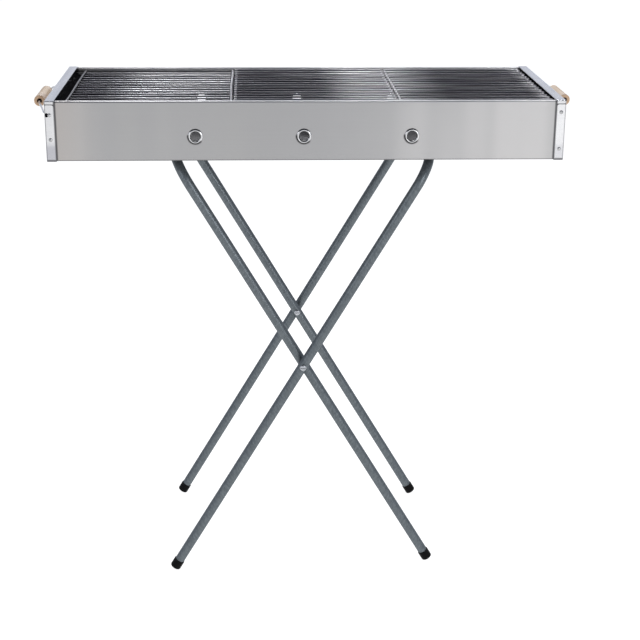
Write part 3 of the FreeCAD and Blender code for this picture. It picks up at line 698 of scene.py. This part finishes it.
def make_grip(side):
    """Roller: a closed outline round the wood between the bore and the turned surface, turned
    round the wire's axis; the surface is turned down by GRIP_WAIST * cos^2 towards the middle."""
    name = side + "_grip"
    low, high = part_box(name)
    half = (high.y - low.y) / 2
    radius = (high.z - low.z) / 2
    centre = (low + high) / 2
    mouth = GRIP_BORE + BORE_CHAMFER
    inner_half = half - BORE_CHAMFER
    corners = [(-half, mouth), (-half, radius), (half, radius), (half, mouth),
               (inner_half, GRIP_BORE), (-inner_half, GRIP_BORE)]
    ease = (SHARP_EASE, GRIP_EASE, GRIP_EASE, SHARP_EASE, SHARP_EASE, SHARP_EASE)
    outline = eased(corners, ease, CORNER_STEPS)
    run = np.linspace(-half + GRIP_EASE, half - GRIP_EASE, GRIP_STEPS)[1:-1]
    wood = np.stack([run, np.full(len(run), radius)], -1)
    split = 2 * CORNER_STEPS
    outline = np.concatenate([outline[:split], wood, outline[split:]])
    waist = GRIP_WAIST * np.cos(0.5 * math.pi * outline[:, 0] / half) ** 2
    outline[:, 1] -= np.where(outline[:, 1] > radius * 0.9, waist, 0)
    points, quads = turned(outline, centre, DEPTH, ROUND_SIDES)
    add_piece(name + "_roller", points, [quads], beech(centre), name, [name])


def make_foot(node, lean, body, finish):
    """Rubber cap: an open outline from the sole's middle, round its edge, up the wall, over the
    mouth and down the socket, turned round the leg's axis; nothing goes below the ground."""
    low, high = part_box(node)
    pivot_low, pivot_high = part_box("front_pivot_bolt")
    pivot = (pivot_low + pivot_high) / 2
    x = pivot.x + (FOOT_END - pivot.z) * math.tan(lean)
    y = (low.y + high.y) / 2
    bead = FOOT_LENGTH - FOOT_BEAD
    half_groove, depth = GROOVE
    corners = [(0.0, 0.0), (0.0, FOOT_RADIUS), (bead, FOOT_RADIUS), (bead + half_groove, FOOT_RADIUS - depth),
               (bead + 2 * half_groove, FOOT_RADIUS), (FOOT_LENGTH, FOOT_RADIUS),
               (FOOT_LENGTH, FOOT_SOCKET), (FOOT_SOLE, FOOT_SOCKET), (FOOT_SOLE, 0.0)]
    ease = np.full(len(corners), SHARP_EASE)
    ease[[0, -1]] = 0.0
    ease[1] = SOLE_EASE
    ease[5] = 2 * SHARP_EASE
    spare = CORNER_STEPS - 1
    outline = eased(corners, ease, CORNER_STEPS)[spare:-spare]
    outline[0] = corners[0]
    outline[-1] = corners[-1]
    axis = (math.sin(lean), 0.0, math.cos(lean))
    points, quads, triangles = turned_solid(outline, (x, y, FOOT_END), axis, FOOT_SIDES)
    points[:, 2] = np.maximum(points[:, 2], 0.0)
    add_piece(node + "_cap", points, [quads, triangles], finish, body, [node])


def make_vent(node, face):
    """Pressed eyelet: its closed section turned round the vent's axis."""
    low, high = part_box(node)
    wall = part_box("trough_shell")[1].y
    centre = ((low.x + high.x) / 2, face * wall, (low.z + high.z) / 2)
    points, quads = turned(eased(VENT_OUTLINE, VENT_EASE), centre, face * DEPTH, ROUND_SIDES)
    finish = eyelet_metal(node)
    add_piece(node + "_eyelet", points, [quads], finish, "trough", [node])


# ------------------------------------------------------------------- build

wire_finish = grate_wire()
for place in BARS_ON_TOP:
    make_grate(place, wire_finish)

for side in ("left", "right"):
    make_grip(side)

rubber = foot_rubber()
for end in ("front", "rear"):
    make_foot(end + "_outer_foot", LEAN, "outer_frame", rubber)
    make_foot(end + "_inner_foot", -LEAN, "inner_frame", rubber)
    for place in BARS_ON_TOP:
        make_vent(end + "_vent_" + place, -1 if end == "front" else 1)

dress(trough_steel(), "trough_shell")
dress(cap_steel(), "left_end_cap", "right_end_cap")
dress(hammer_paint("hammered slate paint, right-leaning", LEAN), "outer_leg_frame")
dress(hammer_paint("hammered slate paint, left-leaning", -LEAN), "inner_leg_frame")
dress(plain_metal("rivet steel", (0.36, 0.36, 0.36), (0.55, 0.55, 0.55), 0.2, 900.0, 0.00002),
      "left_cap_rivets", "right_cap_rivets", "bracket_rivets")
dress(plain_metal("drawn bright wire", (0.62, 0.62, 0.63), (0.78, 0.78, 0.78), 0.16, 700.0, 0.00001),
      "left_bail_wire", "right_bail_wire")
dress(plain_metal("sooty ledge steel", (0.22, 0.215, 0.21), (0.42, 0.415, 0.41), 0.34, 260.0, 0.00004),
      "front_grate_ledge", "rear_grate_ledge")
dress(plain_metal("dull bracket zinc", (0.36, 0.37, 0.39), (0.52, 0.53, 0.55), 0.34, 420.0, 0.00003),
      "front_hinge_saddle", "rear_hinge_saddle", "front_stop_bracket", "rear_stop_bracket")
dress(plain_metal("bolt zinc", (0.33, 0.345, 0.365), (0.50, 0.515, 0.54), 0.2, 800.0, 0.00002),
      *[end + kind for end in ("front", "rear")
        for kind in ("_pivot_bolt", "_pivot_nut", "_pivot_washer")])


# ------------------------------------------------------------------- studio

FLOOR_SIZE = 60.0
CAMERA_PLACE = (-0.0893, -2.3191, 1.2032)
CAMERA_YAW = 0.0515         # to the right of straight ahead
CAMERA_PITCH = 0.3343       # below the level
CAMERA_ROLL = 0.0075
LENS = 79.75
SENSOR_WIDTH = 36.0
FLOOR_COLOUR = (0.45, 0.45, 0.45, 1.0)
FLOOR_GLOW = 0.92
SKY_STRENGTH = 1.05
# How high a direction points, as a sine, and the studio's colour there
SKY = {0.0: (0.62, 0.65, 0.74), 0.16: (0.62, 0.65, 0.74), 0.34: (0.34, 0.36, 0.42),
       0.60: (0.20, 0.21, 0.24), 1.0: (0.24, 0.25, 0.27)}
# Place, the point it faces, size across and down, watts
LAMPS = {
    "key": ((2.2, -3.2, 1.7), (0.2, 0.0, 0.7), (1.6, 1.6), 34),
    "floor glow": ((2.3, -3.9, 1.3), (2.0, -3.9, 0.0), (1.6, 2.2), 22),
    "fill": ((-2.6, -2.4, 1.9), (0.0, 0.0, 0.5), (1.2, 1.6), 14),
    "left strip": ((-0.36, 1.5, 2.1), (-0.22, 0.0, 0.8), (0.34, 0.9), 13),
    "centre strip": ((0.22, 1.5, 2.1), (0.10, 0.0, 0.8), (0.22, 0.9), 11),
    "right strip": ((0.77, 1.5, 2.1), (0.36, 0.0, 0.8), (0.14, 0.9), 6),
}


def pale_floor():
    """Level floor that is white all over, lit softly from within like a light table."""
    half = FLOOR_SIZE / 2
    mesh = bpy.data.meshes.new("floor")
    corners = [(-half, -half, 0), (half, -half, 0), (half, half, 0), (-half, half, 0)]
    mesh.from_pydata(corners, [], [(0, 1, 2, 3)])
    floor = bpy.data.objects.new("floor", mesh)
    bpy.context.scene.collection.objects.link(floor)
    f = Finish("pale floor", Roughness=0.9, Specular_IOR_Level=0.0, Emission_Strength=FLOOR_GLOW)
    f.shader.inputs["Base Color"].default_value = FLOOR_COLOUR
    f.shader.inputs["Emission Color"].default_value = (1.0, 1.0, 1.0, 1.0)
    mesh.materials.append(f.material)


def soft_light(name, place, target, size, power):
    """Rectangular area light that faces a point."""
    lamp = bpy.data.lights.new(name, "AREA")
    lamp.shape = "RECTANGLE"
    lamp.size, lamp.size_y = size
    lamp.energy = power
    light = bpy.data.objects.new(name, lamp)
    bpy.context.scene.collection.objects.link(light)
    light.location = place
    light.rotation_euler = (Vector(target) - Vector(place)).to_track_quat("-Z", "Y").to_euler()


def studio_walls():
    """Pale blue-grey up to a little above the level, and darker overhead."""
    world = bpy.data.worlds.new("studio")
    bpy.context.scene.world = world
    world.use_nodes = True
    tree = world.node_tree
    direction = tree.nodes.new("ShaderNodeTexCoord")
    split = tree.nodes.new("ShaderNodeSeparateXYZ")
    ramp = tree.nodes.new("ShaderNodeValToRGB")
    tree.links.new(direction.outputs["Generated"], split.inputs[0])
    tree.links.new(split.outputs["Z"], ramp.inputs["Fac"])
    while len(ramp.color_ramp.elements) < len(SKY):
        ramp.color_ramp.elements.new(0.5)
    for element, (position, colour) in zip(ramp.color_ramp.elements, SKY.items()):
        element.position = position
        element.color = (*colour, 1.0)
    background = tree.nodes["Background"]
    tree.links.new(ramp.outputs["Color"], background.inputs["Color"])
    background.inputs["Strength"].default_value = SKY_STRENGTH


def set_camera():
    """Camera at CAMERA_PLACE, turned by yaw, pitch and roll."""
    cy, sy = math.cos(CAMERA_YAW), math.sin(CAMERA_YAW)
    cp, sp = math.cos(CAMERA_PITCH), math.sin(CAMERA_PITCH)
    ahead = Vector((sy * cp, cy * cp, -sp))
    level = Vector((cy, -sy, 0.0))
    upward = level.cross(ahead)
    cr, sr = math.cos(CAMERA_ROLL), math.sin(CAMERA_ROLL)
    right = cr * level + sr * upward
    above = -sr * level + cr * upward
    turn = Matrix((right, above, -ahead)).transposed().to_4x4()
    lens = bpy.data.cameras.new("camera")
    lens.lens = LENS
    lens.sensor_width = SENSOR_WIDTH
    camera = bpy.data.objects.new("camera", lens)
    bpy.context.scene.collection.objects.link(camera)
    camera.matrix_world = Matrix.Translation(CAMERA_PLACE) @ turn
    bpy.context.scene.camera = camera


pale_floor()
studio_walls()
for name, settings in LAMPS.items():
    soft_light(name, *settings)
bpy.context.scene.view_settings.view_transform = "Standard"
set_camera()

bpy.context.view_layer.update()
